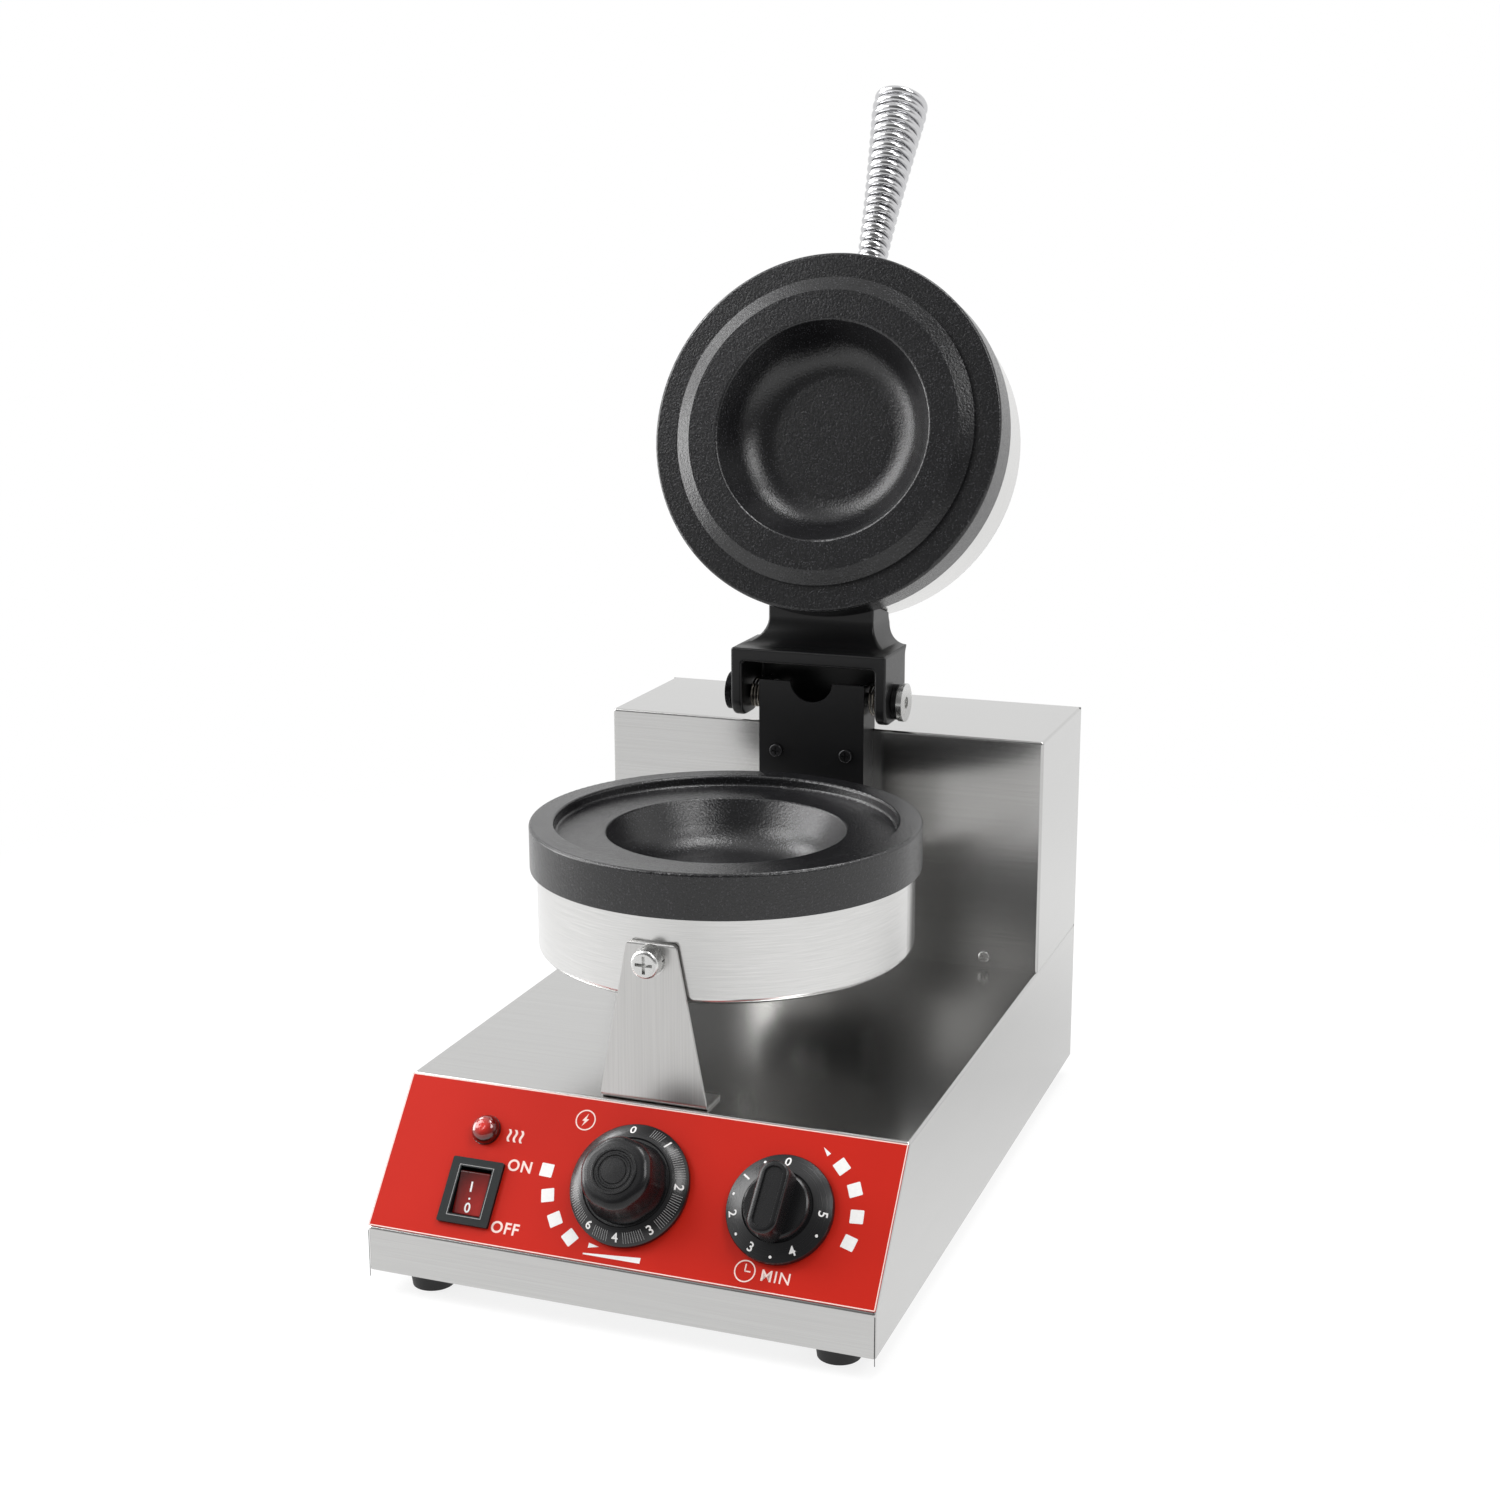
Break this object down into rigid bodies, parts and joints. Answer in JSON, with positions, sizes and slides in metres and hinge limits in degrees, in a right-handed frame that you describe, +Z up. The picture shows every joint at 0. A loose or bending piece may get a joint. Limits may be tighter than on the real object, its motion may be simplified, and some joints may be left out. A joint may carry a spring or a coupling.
{
  "type": "filled bun press",
  "caption": "Countertop electric press with a round lower bowl and a matching lid on a rear hinge, coil handle, sloped control panel and stainless case.",
  "frame": {"origin": "on the worktop, under the middle of the machine with its lid open and its handle leaning back; the base itself is centred 27 mm in front of it", "axes": "+X to the right seen from the front, +Y to the back, +Z up"},
  "size_m": [0.25, 0.4477, 0.566],
  "materials": {
    "case_steel": "brushed stainless sheet",
    "black_rubber": "matt rubber",
    "zinc_fasteners": "bright zinc plated",
    "black_plastic": "black moulded plastic",
    "red_panel": "smooth red printed panel",
    "inner_plastic": "dark moulded plastic",
    "shaft_steel": "turned steel",
    "red_lens": "clear red plastic",
    "pan_steel": "brushed stainless, lines round the ring",
    "nonstick_casting": "black non-stick coating with fine sparkle on cast aluminium",
    "heater_steel": "dull heat-tinted steel",
    "ceramic_fibre": "white ceramic fibre board",
    "bracket_steel": "satin stainless sheet",
    "black_hinge": "black powder coat",
    "chrome_wire": "bright plated wire"
  },
  "bodies": {
    "base": {"base_shell": "case_steel", "bottom_plate": "case_steel", "foot_front_left": "black_rubber", "foot_front_right": "black_rubber", "foot_rear_left": "black_rubber", "foot_rear_right": "black_rubber", "foot_screws": "zinc_fasteners", "rear_box": "case_steel", "rear_box_cleat": "case_steel", "rear_box_rivets": "zinc_fasteners", "rear_cover": "case_steel", "rear_cover_screws": "zinc_fasteners", "cable_gland": "black_plastic", "gland_locknut": "black_plastic", "control_panel": "red_panel", "thermostat_body": "inner_plastic", "timer_body": "inner_plastic", "control_screws": "zinc_fasteners", "switch_body": "black_plastic", "lamp_body": "zinc_fasteners", "lamp_lens": "red_lens", "terminal_block": "inner_plastic", "lower_shell": "pan_steel", "lower_plate": "nonstick_casting", "lower_heater": "heater_steel", "lower_heater_clamp": "heater_steel", "lower_clamp_screws": "zinc_fasteners", "lower_insulation": "ceramic_fibre", "lower_shell_screws": "zinc_fasteners", "front_bracket": "bracket_steel", "bracket_screws": "zinc_fasteners", "pan_bolt": "zinc_fasteners", "pan_bolt_washers": "zinc_fasteners", "pan_bolt_nut": "zinc_fasteners", "support_tube": "bracket_steel", "support_tube_nuts": "zinc_fasteners", "hinge_bracket": "black_hinge", "hinge_bracket_screws": "black_hinge", "hinge_bracket_nuts": "zinc_fasteners", "hinge_springs": "black_hinge", "hinge_bolts": "zinc_fasteners", "hinge_washers": "black_hinge", "hinge_nuts": "zinc_fasteners"},
    "lid": {"upper_shell": "pan_steel", "upper_plate": "nonstick_casting", "upper_heater": "heater_steel", "upper_heater_clamp": "heater_steel", "upper_clamp_screws": "zinc_fasteners", "upper_insulation": "ceramic_fibre", "upper_shell_screws": "zinc_fasteners", "hinge_arm": "black_hinge", "arm_screws": "zinc_fasteners", "handle_boss": "chrome_wire", "handle_rod": "chrome_wire", "handle_coil": "chrome_wire"},
    "thermostat_dial": {"thermostat_knob": "black_plastic", "thermostat_shaft": "shaft_steel"},
    "timer_dial": {"timer_knob": "black_plastic", "timer_shaft": "shaft_steel"},
    "rocker": {"rocker_button": "red_lens"}
  },
  "joints": [
    {"name": "lid_hinge", "type": "hinge", "parent": "base", "child": "lid", "pos_m": [0, 0.0666, 0.2395], "axis": [1, 0, 0], "range_deg": [0, 106.5]},
    {"name": "thermostat_turn", "type": "hinge", "parent": "base", "child": "thermostat_dial", "pos_m": [0, -0.19664, 0.06373], "axis": [0, 0.7682, -0.6402], "range_deg": [0, 270]},
    {"name": "timer_turn", "type": "hinge", "parent": "base", "child": "timer_dial", "pos_m": [0.073, -0.19664, 0.06373], "axis": [0, 0.7682, -0.6402], "range_deg": [0, 300]},
    {"name": "switch_rock", "type": "hinge", "parent": "base", "child": "rocker", "pos_m": [-0.0772, -0.20223, 0.04952], "axis": [-1, 0, 0], "range_deg": [0, 16]}
  ]
}
